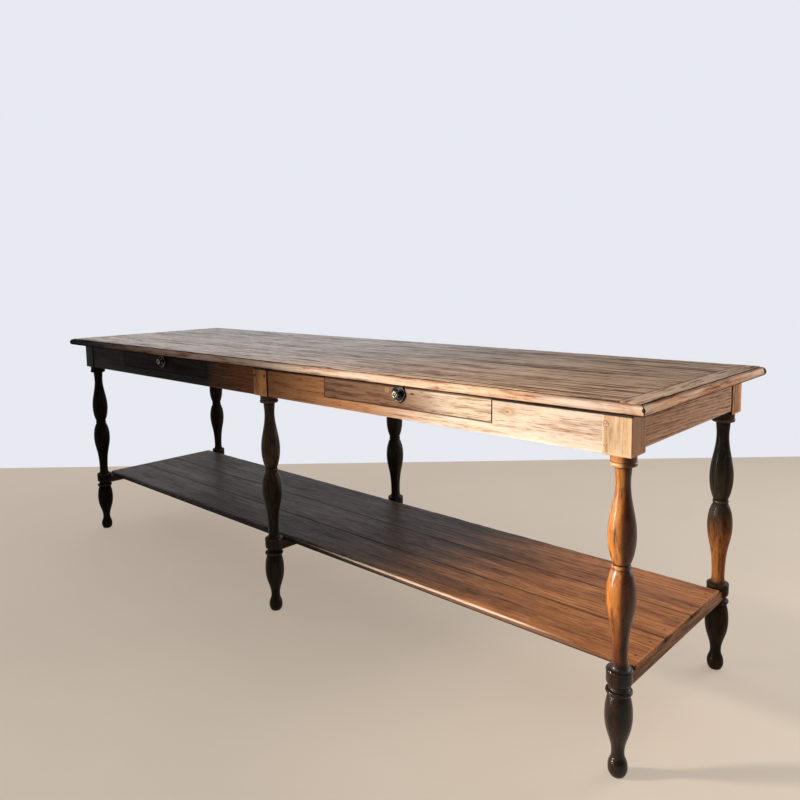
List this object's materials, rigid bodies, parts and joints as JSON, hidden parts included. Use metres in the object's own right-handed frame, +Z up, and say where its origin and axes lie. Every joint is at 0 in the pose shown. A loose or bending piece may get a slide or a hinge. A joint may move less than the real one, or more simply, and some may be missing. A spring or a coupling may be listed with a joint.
{
  "type": "drapers table",
  "caption": "Long oak shop table on turned legs with inset front drawers, round metal knobs, a moulded boarded top and a low boarded shelf.",
  "frame": {"origin": "on the floor under the middle of the top", "axes": "+X along the length, +Y to the back, +Z up; the drawers face -Y"},
  "size_m": [2.5, 0.72, 0.815],
  "materials": {
    "top_oak": "weathered, waxed oak",
    "leg_oak": "turned oak, old wax polish",
    "apron_oak": "old waxed oak",
    "drawer_front_oak": "old waxed oak",
    "shelf_oak": "dark waxed oak",
    "inner_wood": "raw, dry",
    "peg_oak": "end grain",
    "knob_metal": "dark, handled",
    "nail_iron": "rust brown"
  },
  "bodies": {
    "frame": {"apron_nails": "nail_iron", "apron_pegs": "peg_oak", "back_apron_left": "apron_oak", "back_apron_right": "apron_oak", "breadboard_end_left": "top_oak", "breadboard_end_right": "top_oak", "breadboard_pegs": "peg_oak", "drawer_left_runner_left": "inner_wood", "drawer_left_runner_right": "inner_wood", "drawer_right_runner_left": "inner_wood", "drawer_right_runner_right": "inner_wood", "drawer_stops": "inner_wood", "edge_moulding_back": "top_oak", "edge_moulding_front": "top_oak", "edge_moulding_left": "top_oak", "edge_moulding_right": "top_oak", "end_apron_left": "apron_oak", "end_apron_right": "apron_oak", "front_apron_left": "apron_oak", "front_apron_right": "apron_oak", "glue_blocks": "inner_wood", "leg_back_left": "leg_oak", "leg_back_middle": "leg_oak", "leg_back_right": "leg_oak", "leg_front_left": "leg_oak", "leg_front_middle": "leg_oak", "leg_front_right": "leg_oak", "middle_cross_rail": "inner_wood", "shelf_board_back": "shelf_oak", "shelf_board_front": "shelf_oak", "shelf_board_middle": "shelf_oak", "shelf_nails": "nail_iron", "shelf_rail_left": "shelf_oak", "shelf_rail_middle": "shelf_oak", "shelf_rail_right": "shelf_oak", "top_board_1": "top_oak", "top_board_2": "top_oak", "top_board_3": "top_oak", "top_board_4": "top_oak"},
    "drawer_left": {"drawer_left_back": "inner_wood", "drawer_left_bottom": "inner_wood", "drawer_left_front": "drawer_front_oak", "drawer_left_nails": "nail_iron", "drawer_left_side_left": "inner_wood", "drawer_left_side_right": "inner_wood", "knob_left_grip": "knob_metal", "knob_left_nut": "nail_iron", "knob_left_rosette": "knob_metal"},
    "drawer_right": {"drawer_right_back": "inner_wood", "drawer_right_bottom": "inner_wood", "drawer_right_front": "drawer_front_oak", "drawer_right_nails": "nail_iron", "drawer_right_side_left": "inner_wood", "drawer_right_side_right": "inner_wood", "knob_right_grip": "knob_metal", "knob_right_nut": "nail_iron", "knob_right_rosette": "knob_metal"}
  },
  "joints": [
    {"name": "drawer_left_slide", "type": "slide", "parent": "frame", "child": "drawer_left", "axis": [0, -1, 0], "range_m": [0, 0.4]},
    {"name": "drawer_right_slide", "type": "slide", "parent": "frame", "child": "drawer_right", "axis": [0, -1, 0], "range_m": [0, 0.4]}
  ]
}
